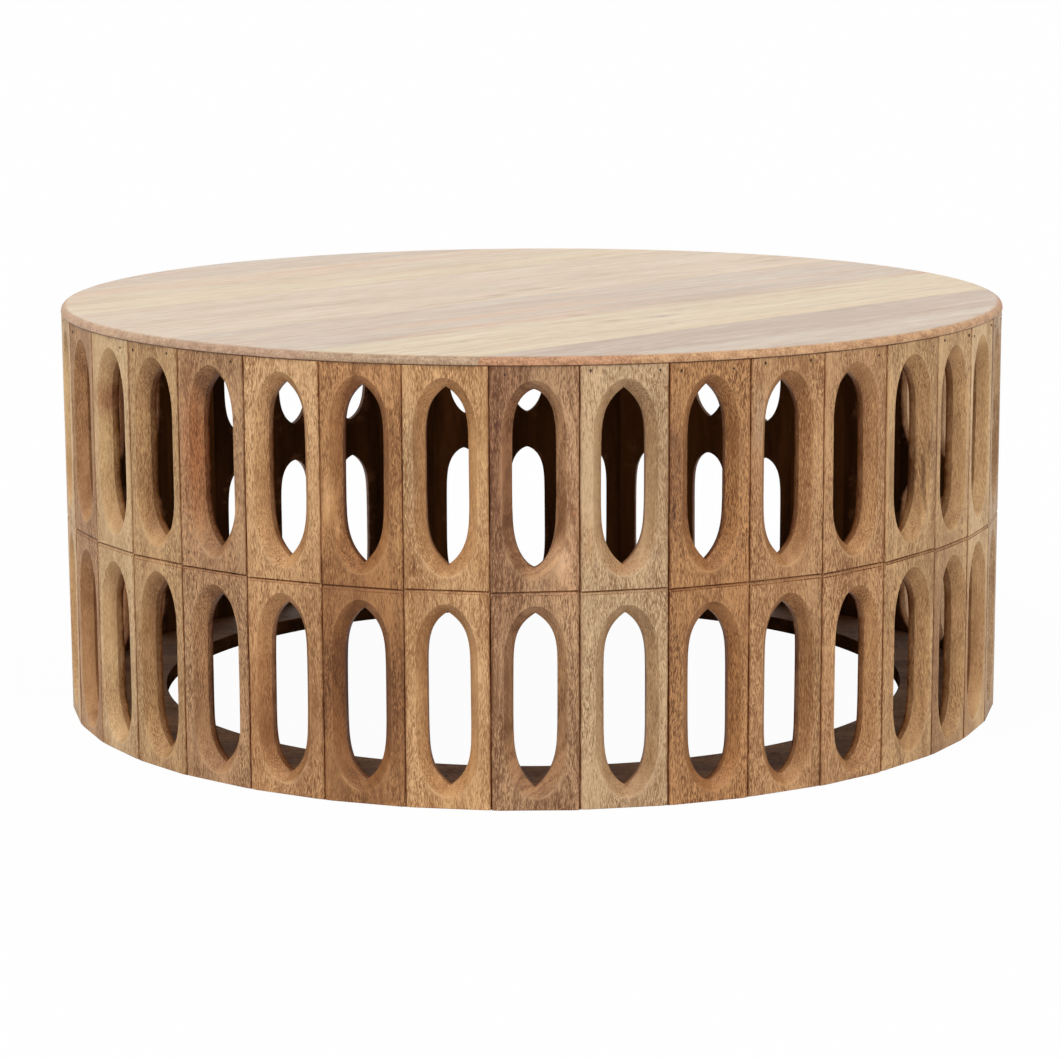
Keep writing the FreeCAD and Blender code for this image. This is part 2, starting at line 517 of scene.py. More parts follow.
        # Painted shade and dark joints along the seams, darker towards the foot
        side_shade_and_dirt = {side: self.rng.uniform(*edge_shade_and_dirt_shares) for side in (1, 0, -1)}
        edge_shade_and_dirt = np.array([side_shade_and_dirt[int(way[0])] for way in ways])
        edge_shade_and_dirt = edge_shade_and_dirt * (1 + foot_darkening * (1 - height / stave_length) ** 2)
        last = numbers
        for degrees, shade_and_stain in edge_turns:
            turn = math.radians(degrees)
            depth = np.maximum(own_depth, edge * (1 - math.cos(turn)))
            last = self.edge_row(last, start, ways, depth, math.sin(turn), gap, shade_and_stain * edge_shade_and_dirt)
        # The gap deep in a seam is painted fully dark, as shade
        gap_floor = seam_gap_depth + seam_gap_floor
        for depth, open_share in ((seam_gap_depth, 1.0), (gap_floor, 0.0)):
            depths = np.full(len(ways), depth)
            last = self.edge_row(last, start, ways, depths, 1.0, gap * open_share, 1.0)
        return last

    def edge_row(self, last, start, ways, depth, out, gap, shade_and_stain):
        """One row of the rounding, this share of the way out to the seam."""
        flat = start[:, (0, 2)].copy()
        mitre = (self.outer - depth) * self.slope
        on_seam = ways[:, 0] != 0
        seam = mitre - gap - seam_edge * (1 - out)
        flat[on_seam, 0] = (ways[:, 0] * seam)[on_seam]
        flat[~on_seam, 0] *= (mitre - seam_edge)[~on_seam] / self.half_width
        flat[:, 1] += ways[:, 1] * end_edge * out
        row = self.add(flat, depth, shade_and_stain)
        self.sheet.strip(row, last)
        return row

    def make(self, name):
        """The whole stave: two panels, the groove between them, and the edges."""
        lower_front, lower_rear, panel = self.panel(0)
        upper_front, upper_rear = self.panel(1)[:2]
        rows, rear_rows = self.groove(panel[corner_ne:corner_nw + 1, 0])
        sides = (
            (lower_front, rows, upper_front, False),
            (lower_rear, rear_rows, upper_rear, True),
        )
        for lower, middle, upper, flip in sides:
            stack = [lower[corner_ne:corner_nw + 1]] + middle
            stack.append(upper[corner_sw:corner_se + 1][::-1])
            self.sheet.skin(stack, closed=False, flip=flip)
        side = self.edges(*self.outline(lower_front, upper_front, rows))
        rear = self.outline(lower_rear, upper_rear, rear_rows)[0]
        self.sheet.strip(rear, side)
        return self.sheet.build(name)


def make_board(name, near, far):
    """A board of the top between two joints, given as shares of the drum's radius."""
    sheet = Sheet()
    width = board_columns + 1

    def grid(rim, joint, z):
        """Points over the board, this far in from the rim and the joints."""
        radius = drum_radius - rim
        low = max(near * drum_radius + joint, -radius * board_limit_share)
        high = min(far * drum_radius - joint, radius * board_limit_share)
        across = np.linspace(math.asin(low / radius), math.asin(high / radius), board_rows + 1)
        points = []
        for angle in across:
            for share in np.linspace(-1, 1, width):
                u = radius * math.cos(angle) * share
                v = radius * math.sin(angle)
                x = u * math.cos(board_turn) - v * math.sin(board_turn)
                y = u * math.sin(board_turn) + v * math.cos(board_turn)
                points.append((x, y, z))
        return points

    def lines(numbers):
        return [numbers[start:start + width] for start in range(0, len(numbers), width)]

    cells = np.arange(width * (board_rows + 1)).reshape(-1, width)
    border = [*cells[0], *cells[1:, -1], *cells[-1, -2::-1], *cells[-2:0:-1, 0]]
    plug = drum_radius - seat_radius
    profile = []
    for degrees, shade_and_stain in rim_turns:
        turn = math.radians(degrees)
        inward = rim_edge * (1 - math.sin(turn))
        profile.append((inward, total_height - rim_drop * (1 - math.cos(turn)), shade_and_stain))
    # Below the rim's end grain: a line of painted shadow, then the plug painted dark as shade
    # inside the drum
    profile += [
        (0.0, stave_length + rim_foot, rim_stain),
        (shadow_inset, stave_length + shadow_line, 1.0),
        (shadow_inset, stave_length, 1.0),
        (plug, stave_length, 1.0),
        (plug, top_underside, 1.0),
    ]
    top = sheet.add(grid(rim_edge, joint_edge, total_height))
    sheet.skin(lines(top), closed=False)
    last = [top[i] for i in border]
    for inward, z, shade_and_stain in profile:
        points = grid(inward, joint_gap, z)
        row = sheet.add([points[i] for i in border], shade_and_stain)
        sheet.strip(row, last)
        last = row
    # The underside, inside the drum, is painted dark as shade
    under = sheet.add(grid(plug, joint_gap, top_underside), 1.0)
    sheet.skin(lines(under), closed=False, flip=True)
    sheet.strip([under[i] for i in border], last)
    return sheet.build(name)


# The foot ring. Its opening isn't quite in the middle, but a little further back.
opening_radius = seat_radius - 0.072
opening_shift = 0.008
ring_edge = 0.001
ring_steps = 192


def make_foot_ring(name):
    """The foot ring with eased edges. Its walls inside the drum are painted dark as shade, the
    wall round its opening most.
    """
    sheet = Sheet()
    bottom, top = ring_low.z, ring_high.z
    # The wall of the opening, the outer side and the bottom edges are painted dark as shade
    profile = (
        (opening_radius + ring_edge, opening_shift, bottom, inside_shade),
        (opening_radius, opening_shift, bottom + ring_edge, inside_shade),
        (opening_radius, opening_shift, top - ring_edge, inside_shade),
        (opening_radius + ring_edge, opening_shift, top, 0.3),
        (opening_radius + 2 * ring_edge, opening_shift, top, 0.0),
        (seat_radius - ring_edge, 0.0, top, 0.3),
        (seat_radius, 0.0, top - ring_edge, 1.0),
        (seat_radius, 0.0, bottom + ring_edge, 1.0),
        (seat_radius - ring_edge, 0.0, bottom, 1.0),
    )
    rows = []
    for radius, shift, z, shade_and_stain in profile:
        turns = np.linspace(0, 2 * math.pi, ring_steps, endpoint=False)
        points = [(radius * math.cos(t), radius * math.sin(t) + shift, z) for t in turns]
        rows.append(sheet.add(points, shade_and_stain))
    sheet.skin(rows + rows[:1], flip=True)
    return sheet.build(name)


class Graph:
    """Short calls for building a node tree. Values are sockets or plain numbers."""

    def __init__(self, tree):
        self.tree = tree

    def add(self, kind, inputs=None, **settings):
        """A node with these settings, and with values or links in these inputs."""
        node = self.tree.nodes.new(kind)
        for key, value in settings.items():
            setattr(node, key, value)
        for key, value in (inputs or {}).items():
            if isinstance(value, bpy.types.NodeSocket):
                self.tree.links.new(value, node.inputs[key])
            else:
                node.inputs[key].default_value = value
        return node

    def math(self, operation, *values, clamp=False):
        values = dict(enumerate(values))
        return self.add("ShaderNodeMath", values, operation=operation, use_clamp=clamp).outputs[0]

    def plus(self, first, second, clamp=False):
        return self.math("ADD", first, second, clamp=clamp)

    def minus(self, first, second):
        return self.math("SUBTRACT", first, second)

    def times(self, first, second, clamp=False):
        return self.math("MULTIPLY", first, second, clamp=clamp)

    def vector(self, operation, *values):
        node = self.add("ShaderNodeVectorMath", dict(enumerate(values)), operation=operation)
        return node.outputs["Value" if operation == "LENGTH" else "Vector"]

    def spread(self, value, low, high, to_low=0.0, to_high=1.0):
        """The value moved from one range to another, clamped."""
        return self.add("ShaderNodeMapRange", {
            "Value": value, "From Min": low, "From Max": high, "To Min": to_low, "To Max": to_high,
        }).outputs["Result"]

    def mix(self, factor, first, second, blend="MIX"):
        inputs = {0: factor, 6: first, 7: second}
        return self.add("ShaderNodeMix", inputs, data_type="RGBA", blend_type=blend).outputs[2]

    def tint(self, first, second):
        """One colour times another."""
        return self.mix(1.0, first, second, "MULTIPLY")

    def noise(self, place, rates, detail, roughness=0.55, colour=False):
        """A noise with one rate per metre for X and Y, and one for Z."""
        across, along = rates
        node = self.add("ShaderNodeTexNoise", {
            "Vector": self.vector("MULTIPLY", place, (across, across, along)), "Scale": 1.0,
            "Detail": detail, "Roughness": roughness,
        })
        return node.outputs["Color" if colour else "Fac"]

    def weigh(self, *noises):
        """The sum of noises about their middle, each times its weight."""
        total = None
        for noise, weight in noises:
            part = self.centred(noise, weight)
            total = part if total is None else self.plus(total, part)
        return total

    def centred(self, noise, weight):
        """A noise about its middle, times its weight."""
        return self.math("MULTIPLY_ADD", noise, weight, -0.5 * weight)

    def bend(self, place, rates, detail, reach):
        """Places moved about across the grain by a coloured noise."""
        noise = self.noise(place, rates, detail, colour=True)
        sway = self.vector("SUBTRACT", noise, (0.5, 0.5, 0.5))
        return self.vector("MULTIPLY", sway, (reach, reach, 0.0))

    def parts(self, place):
        return self.add("ShaderNodeSeparateXYZ", {0: place}).outputs

    def joined(self, *values):
        return self.add("ShaderNodeCombineXYZ", dict(enumerate(values))).outputs[0]

    def own_place(self):
        """The place of a point in its object's frame."""
        return self.add("ShaderNodeTexCoord").outputs["Object"]

    def mark(self, name):
        """One of the marks that a sheet keeps."""
        return self.add("ShaderNodeAttribute", attribute_name=name).outputs["Fac"]

    def any_ray(self, *kinds):
        """1 for a ray of one of these kinds, or else 0."""
        rays = self.add("ShaderNodeLightPath").outputs
        found = rays[kinds[0]]
        for kind in kinds[1:]:
            found = self.math("MAXIMUM", found, rays[kind])
        return found

    def close(self, shader, kind="ShaderNodeOutputMaterial"):
        """Ends the tree with this shader."""
        self.add(kind, {"Surface": shader.outputs[0]})


def linear(red, green, blue):
    """A colour written as in a picture, 0 to 255, as the shader wants it."""
    def channel(value):
        share = value / 255
        return share / 12.92 if share <= 0.04045 else ((share + 0.055) / 1.055) ** 2.4
    return (channel(red), channel(green), channel(blue), 1.0)


group_outputs = {"Color": ("Color",), "Float": ("Height", "Roughness")}


def new_group(name, inputs):
    """A new node group with these inputs, and its node calls and input sockets."""
    group = bpy.data.node_groups.new(name, "ShaderNodeTree")
    for in_out, kinds in (("INPUT", inputs), ("OUTPUT", group_outputs)):
        for kind, sockets in kinds.items():
            for socket in sockets:
                group.interface.new_socket(socket, in_out=in_out, socket_type="NodeSocket" + kind)
    g = Graph(group)
    return group, g, g.add("NodeGroupInput").outputs


def close_group(g, colour, height, rough):
    g.add("NodeGroupOutput", {"Color": colour, "Height": height, "Roughness": rough})


# What the wood's colours are multiplied by: in flecks, in the palest places, where it was cut
# smoothly, under thin dirt and painted shade, and in the top's dark fibres
fleck_tint = (0.65, 0.54, 0.43, 1.0)
bright_tint = (1.14, 1.12, 1.08, 1.0)
cut_tint = (0.98, 0.93, 0.86, 1.0)
shade_and_dirt_tint = (0.48, 0.30, 0.18, 1.0)
fibre_tint = (0.62, 0.53, 0.45, 1.0)

# Growth rings of the carved wood: how they arch over the stave and lean into it, how uneven
# they are, their lines per metre, fine and soft, how dark each kind is, and how far their
# crown lies off the middle of the stave
ring_arch = 13.0
ring_depth_lean = 0.7
ring_sway = 0.016
ring_rates = (1250.0, 420.0)
ring_shares = (0.30, 0.16)
ring_offset_share = 0.004
ring_offset = 0.01

# How light the carved wood is where its noises are in their middle
middle_light = 0.62


def carved_rings(g, given, place):
    """How dark the growth rings are: thin lines and soft bands in arches up the stave."""
    local = g.parts(given["Place"])
    shift = g.times(g.parts(given["Offset"])[0], ring_offset_share)
    x = g.plus(local[0], g.minus(shift, ring_offset))
    arch = g.times(g.times(x, x), ring_arch)
    climb = g.times(local[2], given["Ring Lean"])
    layer = g.plus(g.plus(arch, climb), g.times(local[1], ring_depth_lean))
    layer = g.plus(layer, g.times(g.noise(place, (26, 8), 3.0), ring_sway))
    line = g.spread(g.math("SINE", g.times(layer, ring_rates[0])), 0.1, 1.0)
    soft = g.math("SINE", g.times(layer, ring_rates[1]))
    return g.plus(g.times(line, ring_shares[0]), g.times(soft, ring_shares[1]))


def carved_wood_group():
    """Open-grained wood with its grain along Z: wavy fibres, flecks, rings and patches."""
    group, g, given = new_group("carved_wood", {
        "Vector": ("Place", "Offset"),
        "Color": ("Pale", "Deep", "Tint"),
        "Float": ("Tint Share", "Rings", "Ring Lean", "Flecks", "Contrast", "Cut"),
    })
    place = g.vector("ADD", given["Place"], given["Offset"])
    sway = g.bend(place, (9, 6), 2.0, 0.022)
    ripple = g.bend(place, (95, 62), 1.0, 0.0038)
    bent = g.vector("ADD", g.vector("ADD", place, sway), ripple)
    fine = g.weigh(
        (g.noise(bent, (520, 46), 2.0), 0.8),
        (g.noise(bent, (1500, 170), 1.5), 3.0),
        (g.noise(bent, (1100, 340), 2.0), 1.1),
    )
    broad = g.weigh(
        (g.noise(bent, (55, 2.6), 2.0), 1.2),
        (g.noise(place, (24, 13), 3.0, 0.6), 1.1),
    )
    rings = carved_rings(g, given, place)
    field = g.noise(place, (30, 12), 3.0, 0.6)
    smooth = g.spread(given["Cut"], 0.0, 1.0, 1.0, 0.65)
    rough_cut = g.times(smooth, g.spread(field, 0.36, 0.62, 0.45, 1.45))
    light = g.plus(g.times(g.times(fine, given["Contrast"]), rough_cut), broad)
    light = g.plus(g.minus(light, g.times(rings, given["Rings"])), middle_light)
    fleck = g.tint(given["Deep"], fleck_tint)
    low = g.mix(g.spread(light, -0.10, 0.46), fleck, given["Deep"])
    wood = g.mix(g.spread(light, 0.38, 0.98), low, given["Pale"])
    wood = g.mix(g.spread(light, 0.92, 1.45), wood, g.tint(given["Pale"], bright_tint))
    patch = g.spread(g.noise(place, (15, 5), 2.0), 0.42, 0.60)
    wood = g.mix(g.times(patch, given["Tint Share"]), wood, g.tint(wood, given["Tint"]))

    edge = g.math("ABSOLUTE", g.minus(g.noise(bent, (680, 44), 2.0), 0.5))
    broken = g.spread(g.noise(bent, (800, 95), 1.0), 0.47, 0.58)
    pore = g.times(g.spread(edge, 0.04, 0.008), broken)
    pore = g.times(pore, g.times(g.spread(field, 0.40, 0.60, 0.05, 0.8), rough_cut))
    wood = g.mix(g.times(pore, given["Flecks"], clamp=True), wood, fleck)
    wood = g.mix(given["Cut"], wood, g.tint(wood, cut_tint))
    height = g.minus(g.times(fine, 0.5), g.times(pore, 0.8))
    sheen = g.spread(light, 0.0, 1.0, 0.62, 0.50)
    close_group(g, wood, height, g.plus(g.times(pore, 0.2), sheen, clamp=True))
    return group


def planed_wood_group():
    """Fine pale wood for the top, its grain along Z: soft streaks of three tones."""
    group, g, given = new_group("planed_wood", {
        "Vector": ("Place", "Offset"),
        "Color": ("Cream", "Mauve", "Peach"),
        "Float": ("Mauve Share", "Peach Share"),
    })
    place = g.vector("ADD", given["Place"], given["Offset"])
    bent = g.vector("ADD", place, g.bend(place, (5, 2.4), 2.0, 0.030))
    wood = given["Cream"]
    streaks = (("Mauve", (34, 2.3), (0.0, 0.0, 0.0)), ("Peach", (48, 3.1), (3.0, 1.0, 2.0)))
    for tone, rates, shift in streaks:
        noise = g.noise(g.vector("ADD", bent, shift), rates, 4.0, 0.6)
        share = g.times(g.spread(noise, 0.44, 0.66), given[tone + " Share"])
        wood = g.mix(share, wood, given[tone])
    fibre = g.weigh(
        (g.noise(bent, (210, 6), 3.0, 0.6), 0.75),
        (g.noise(bent, (800, 36), 2.0), 0.75),
        (g.noise(bent, (60, 12), 3.0, 0.6), 0.30),
    )
    darker = g.tint(wood, fibre_tint)
    paler = g.mix(0.55, wood, linear(246, 234, 214))
    wood = g.mix(g.spread(fibre, 0.0, -0.55), wood, darker)
    wood = g.mix(g.spread(fibre, 0.0, 0.45), wood, paler)
    dash = g.spread(g.noise(bent, (330, 11), 2.0, 0.5), 0.66, 0.74)
    wood = g.mix(g.times(dash, 0.5), wood, linear(176, 134, 100))
    close_group(g, wood, fibre, g.spread(fibre, -0.5, 0.5, 0.58, 0.46))
    return group


carved_wood = carved_wood_group()
planed_wood = planed_wood_group()


def new_material(name):
    material = bpy.data.materials.new(name)
    material.use_nodes = True
    material.node_tree.nodes.clear()
    return material, Graph(material.node_tree)


def finish_material(g, colour, roughness, height, bump, specular=0.35):
    """The shader itself, with bump, at the end of a material."""
    relief = g.add("ShaderNodeBump", {"Strength": 0.8, "Distance": bump, "Height": height})
    g.close(g.add("ShaderNodeBsdfPrincipled", {
        "Base Color": colour, "Roughness": roughness, "Specular IOR Level": specular,
        "Normal": relief.outputs["Normal"],
    }))


def wood_node(g, group, place, offset, look):
    return g.add("ShaderNodeGroup", {"Place": place, "Offset": offset, **look}, node_tree=group)


def mark_over(g, colour, along, across, mark, unit, ground=None):
    """A soft-edged long spot in the wood. A mark gives its place along and across the
    grain, half its length and half its width in units, then its tone and share. Where
    the ground tone is given, the grain goes on through the spot."""
    u, v, half_length, half_width, tone, strength = mark
    left = g.math("DIVIDE", g.minus(along, u * unit), half_length * unit)
    up = g.math("DIVIDE", g.minus(across, v * unit), half_width * unit)
    reach = g.vector("LENGTH", g.joined(left, up, 0.0))
    share = g.spread(reach, 1.15, 0.25, 0.0, strength)
    target = linear(*tone)
    if ground:
        ratio = [value / base for value, base in zip(target[:3], ground)]
        target = g.tint(colour, (*ratio, 1.0))
    return g.mix(share, colour, target)


# Colour of deep painted shade and dirt, in seams, grooves, slot walls and inside the drum, how it
# differs from stave to stave and how much paler its streaks are, and how fast wear and painted
# highlight bring out the pale wood
shade_and_dirt_tone = (72, 45, 24)
shade_and_dirt_depths = (0.7, 1.15)
shade_and_dirt_streak_gain = 1.7
highlight_and_wear_gain = -4.0


def carved_material(name, offset, look, spots=(), lying=False, shade=1.0):
    """Carved wood, with painted shade and dirt in seams, grooves, slot walls and inside, and
    painted highlight and wear on the edges.
    """
    material, g = new_material(name)
    place = g.own_place()
    if lying:
        along = g.parts(place)
        place = g.joined(along[1], along[2], along[0])
    wood = wood_node(g, carved_wood, place, offset, {**look, "Cut": g.mark("cut")})
    shade_and_stain = g.mark("shade_and_stain")
    own_place = g.vector("ADD", place, offset)
    colour = wood.outputs["Color"]
    if spots:
        local = g.parts(place)
        ripple = g.parts(g.noise(own_place, (80, 40), 3.0, 0.6, colour=True))
        across = g.plus(local[0], g.centred(ripple[0], 0.007))
        along = g.plus(local[2], g.centred(ripple[1], 0.030))
        ground = [(a + b) / 2 for a, b in zip(look["Pale"], look["Deep"])]
        for spot in spots:
            colour = mark_over(g, colour, along, across, spot, millimetre, ground)
    uneven = g.spread(g.noise(own_place, (34, 45), 4.0, 0.65), 0.36, 0.64, 0.50, 1.20)
    # Thin painted shade and dirt darken the wood, and past 0.55 it turns to the deep tone of
    # painted shade in seams, grooves, slot walls and inside
    shade_and_dirt = g.times(shade_and_stain, uneven, clamp=True)
    streak = g.spread(g.noise(own_place, (40, 5), 3.0), 0.36, 0.64)
    depth = shade * random.Random(name).uniform(*shade_and_dirt_depths)
    dark = [value * depth for value in shade_and_dirt_tone]
    colour = g.mix(g.spread(shade_and_dirt, 0.0, 0.55), colour, g.tint(colour, shade_and_dirt_tint))
    inside = g.mix(streak, linear(*dark), linear(*(shade_and_dirt_streak_gain * value for value in dark)))
    colour = g.mix(g.spread(shade_and_dirt, 0.55, 1.0), colour, inside)
    # Below zero the stain paints a highlight, partly wear, in the pale wood tone
    highlight_and_wear = g.times(shade_and_stain, highlight_and_wear_gain, clamp=True)
    highlight_and_wear = g.times(highlight_and_wear, g.spread(uneven, 0.65, 1.1, 0.15, 0.8))
    colour = g.mix(highlight_and_wear, colour, look["Pale"])
    gloss = g.spread(shade_and_dirt, 0.2, 1.0, 0.35, 0.0)
    rough, height = wood.outputs["Roughness"], wood.outputs["Height"]
    finish_material(g, colour, rough, height, bump=0.00035, specular=gloss)
    return material


# Wood tones of the staves in the photo, as pale and deep colours
tones = {
    "cream": ((224, 191, 145), (190, 153, 109)),
    "pale": ((206, 174, 136), (167, 133, 97)),
    "straw": ((210, 170, 121), (166, 127, 85)),
    "honey": ((216, 172, 124), (170, 126, 82)),
    "tan": ((200, 156, 110), (156, 112, 72)),
    "brown": ((190, 140, 91), (142, 97, 56)),
    "grey": ((195, 152, 110), (150, 111, 77)),
    "rose": ((186, 146, 108), (140, 102, 70)),
}

# What patches of a stave are tinted with: redder or greyer
tints = (
    (0.86, 0.74, 0.66, 1.0),
    (0.92, 0.86, 0.82, 1.0),
    (0.80, 0.70, 0.60, 1.0),
    (1.06, 1.00, 0.90, 1.0),
)

# The staves that the photo shows, by number: tone, tint, tint share, rings, lean, flecks
# and contrast
seen_staves = {
    1: ("rose", 0, 0.35, 0.9, 0.10, 0.5, 1.05),
    2: ("pale", 1, 0.3, 0.10, 0.05, 0.9, 1.1),
    3: ("brown", 0, 0.3, 0.25, -0.06, 1.0, 1.5),
    4: ("tan", 3, 0.4, 0.20, 0.04, 0.9, 1.15),
    5: ("tan", 3, 0.5, 0.15, 0.05, 0.7, 1.2),
    6: ("straw", 1, 0.3, 0.45, -0.08, 0.7, 0.9),
    7: ("straw", 1, 0.3, 0.20, 0.05, 0.7, 0.9),
    8: ("cream", 3, 0.4, 0.20, 0.06, 0.6, 0.9),
    9: ("pale", 2, 0.5, 0.20, 0.06, 0.6, 0.9),
    32: ("tan", 3, 0.4, 0.20, 0.05, 0.6, 0.9),
    33: ("cream", 2, 0.4, 0.20, 0.06, 0.6, 0.9),
    34: ("straw", 1, 0.5, 0.20, -0.05, 0.6, 1.0),
    35: ("grey", 0, 0.3, 0.20, 0.05, 0.9, 1.35),
    36: ("honey", 2, 0.3, 0.15, 0.05, 0.6, 1.1),
    37: ("brown", 2, 0.5, 0.50, 0.07, 0.7, 0.9),
    38: ("honey", 3, 0.5, 0.25, -0.09, 0.7, 0.8),
}

# Marks and patches in the staves that the photo shows: number, place up the stave and across
# it, half length and half width in millimetres, tone and share
stave_marks = (
    (1, 300, -30, 150, 26, (136, 92, 62), 0.75),
    (1, 250, 30, 120, 24, (204, 162, 122), 0.5),
    (1, 338, -31, 7, 3, (112, 66, 52), 0.6),
    (1, 264, -31, 9, 2, (120, 70, 50), 0.5),
    (1, 224, 14, 16, 18, (206, 166, 130), 0.5),
    (1, 258, 32, 5, 3, (150, 96, 60), 0.6),
    (2, 212, 2, 7, 17, (184, 132, 86), 0.4),
    (2, 235, -31, 26, 6, (168, 122, 78), 0.5),
    (3, 290, -32, 70, 10, (120, 76, 44), 0.6),
    (3, 95, -28, 110, 16, (140, 98, 58), 0.5),
    (3, 258, -34, 14, 3, (92, 56, 34), 0.6),
    (3, 318, -33, 9, 3, (96, 60, 38), 0.5),
    (4, 335, -29, 34, 9, (176, 142, 112), 0.6),
    (4, 270, -26, 90, 16, (166, 120, 80), 0.5),
    (4, 100, 30, 120, 18, (146, 106, 68), 0.5),
    (6, 95, -24, 110, 20, (178, 128, 78), 0.5),
    (6, 276, 19, 46, 1.8, (104, 70, 44), 0.75),
    (6, 262, 25, 40, 2.0, (104, 70, 44), 0.75),
    (6, 300, 30, 30, 1.8, (112, 76, 50), 0.7),
    (6, 230, 30, 30, 4, (206, 166, 120), 0.5),
    (7, 60, -38, 160, 46, (138, 88, 44), 0.7),
    (8, 60, -20, 160, 80, (176, 122, 66), 0.5),
    (32, 300, 20, 140, 30, (146, 104, 66), 0.6),
    (33, 328, -20, 18, 14, (160, 108, 72), 0.7),
    (33, 286, -18, 30, 11, (226, 196, 146), 0.6),
    (33, 262, -16, 12, 2, (96, 66, 44), 0.6),
    (33, 90, -24, 110, 20, (228, 194, 148), 0.6),
    (33, 90, 28, 110, 18, (186, 150, 110), 0.5),
    (35, 300, -24, 80, 14, (180, 112, 62), 0.6),
    (36, 85, 22, 150, 40, (148, 98, 56), 0.6),
    (36, 85, -28, 120, 26, (180, 118, 70), 0.4),
    (36, 365, 0, 60, 60, (222, 182, 136), 0.5),
    (37, 95, 0, 125, 130, (128, 82, 44), 0.75),
    (37, 370, 0, 46, 60, (200, 150, 104), 0.5),
    (37, 268, -28, 24, 9, (210, 162, 114), 0.5),
    (37, 240, -24, 12, 3, (214, 168, 120), 0.5),
    (38, 214, -29, 9, 2.5, (136, 86, 50), 0.8),
    (38, 222, 26, 24, 14, (172, 120, 72), 0.5),
    (38, 310, -31, 70, 9, (190, 160, 122), 0.5),
)


def wood_offset(rng):
    """Where in the solid wood a piece is cut."""
    return tuple(rng.uniform(-wood_offset_limit, wood_offset_limit) for _ in range(3))


def stave_look(number):
    """Settings of the wood of one stave, and where in the solid it is cut."""
    rng = random.Random(stave_wood_seed + number)
    other = (
        rng.choice(sorted(tones)), rng.randrange(len(tints)), rng.uniform(0.2, 0.8),
        rng.uniform(0.1, 0.6), rng.uniform(-0.1, 0.1), rng.uniform(0.5, 1.0),
        rng.uniform(0.85, 1.15),
    )
    tone, tint, *values = seen_staves.get(number, other)
    pale, deep = (linear(*rgb) for rgb in tones[tone])
    look = {"Pale": pale, "Deep": deep, "Tint": tints[tint]}
    look.update(zip(("Tint Share", "Rings", "Ring Lean", "Flecks", "Contrast"), values))
    return look, wood_offset(rng)


def make_staves():
    for number, name in enumerate(stave_names, 1):
        middle, half = stave_span(name)
        piece = Stave(half, number).make(name + "_carved")
        piece.matrix_world = Matrix.Rotation(middle, 4, "Z")
        look, offset = stave_look(number)
        spots = [mark[1:] for mark in stave_marks if mark[0] == number]
        piece.data.materials.append(carved_material(name + "_wood", offset, look, spots))
        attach(piece, "root")
        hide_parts(name)


# Tones of the top
cream = (215, 196, 173)
yellow_cream = (219, 201, 172)
grey_cream = (205, 188, 171)
mauve = (192, 172, 155)
peach = (214, 178, 148)
brown_mark = (146, 100, 68)
dark_mark = (110, 76, 54)

# Boards, front right to back left: ground tone, shares of mauve and peach, and the pale and
# deep tones of the rim
board_looks = (
    (grey_cream, 0.55, 0.25, (210, 166, 124), (156, 112, 74)),
    (mauve, 0.40, 0.20, (204, 152, 114), (146, 102, 70)),
    (yellow_cream, 0.30, 0.35, (192, 162, 132), (142, 112, 84)),
    (grey_cream, 0.60, 0.60, (199, 165, 137), (157, 123, 97)),
    (cream, 0.25, 0.25, (206, 172, 142), (156, 122, 94)),
    (cream, 0.45, 0.40, (212, 176, 144), (170, 134, 104)),
    (yellow_cream, 0.45, 0.45, (212, 174, 140), (168, 130, 98)),
    (cream, 0.40, 0.60, (210, 172, 138), (166, 128, 96)),
    (grey_cream, 0.35, 0.45, (212, 176, 142), (168, 132, 100)),
)

# Marks in the top: place along and across the boards, half length and half width as shares
# of the drum's radius, tone and share
marks = (
    (-0.626, -0.459, 0.020, 0.0026, dark_mark, 0.9),
    (-0.768, -0.440, 0.006, 0.004, brown_mark, 0.6),
    (-0.086, -0.467, 0.014, 0.010, dark_mark, 0.8),
    (-0.090, -0.462, 0.070, 0.022, mauve, 0.8),
    (-0.215, -0.445, 0.060, 0.022, brown_mark, 0.32),
    (-0.149, -0.556, 0.012, 0.008, brown_mark, 0.4),
    (-0.060, 0.045, 0.050, 0.016, brown_mark, 0.42),
    (0.060, 0.075, 0.075, 0.020, brown_mark, 0.30),
    (0.110, 0.025, 0.045, 0.010, brown_mark, 0.30),
    (0.016, 0.410, 0.028, 0.006, (206, 146, 100), 0.6),
    (0.030, 0.453, 0.080, 0.0045, brown_mark, 0.35),
    (-0.422, -0.042, 0.060, 0.0050, brown_mark, 0.45),
    (-0.506, -0.059, 0.036, 0.0045, brown_mark, 0.40),
    (-0.570, -0.340, 0.050, 0.0045, brown_mark, 0.45),
    (-0.188, -0.328, 0.034, 0.006, dark_mark, 0.45),
    (0.897, 0.095, 0.060, 0.006, (168, 104, 78), 0.6),
    (-0.270, 0.460, 0.022, 0.006, brown_mark, 0.35),
    (-0.350, 0.664, 0.140, 0.012, peach, 0.7),
    (0.060, 0.730, 0.260, 0.016, peach, 0.55),
    (0.160, -0.735, 0.300, 0.060, mauve, 0.7),
    (-0.300, -0.200, 0.500, 0.030, peach, 0.5),
    (-0.150, -0.105, 0.420, 0.022, mauve, 0.6),
    (0.250, -0.270, 0.380, 0.050, mauve, 0.55),
)

# How far past its board a mark may lie and still be drawn, as a share of the radius
mark_margin_share = 0.02


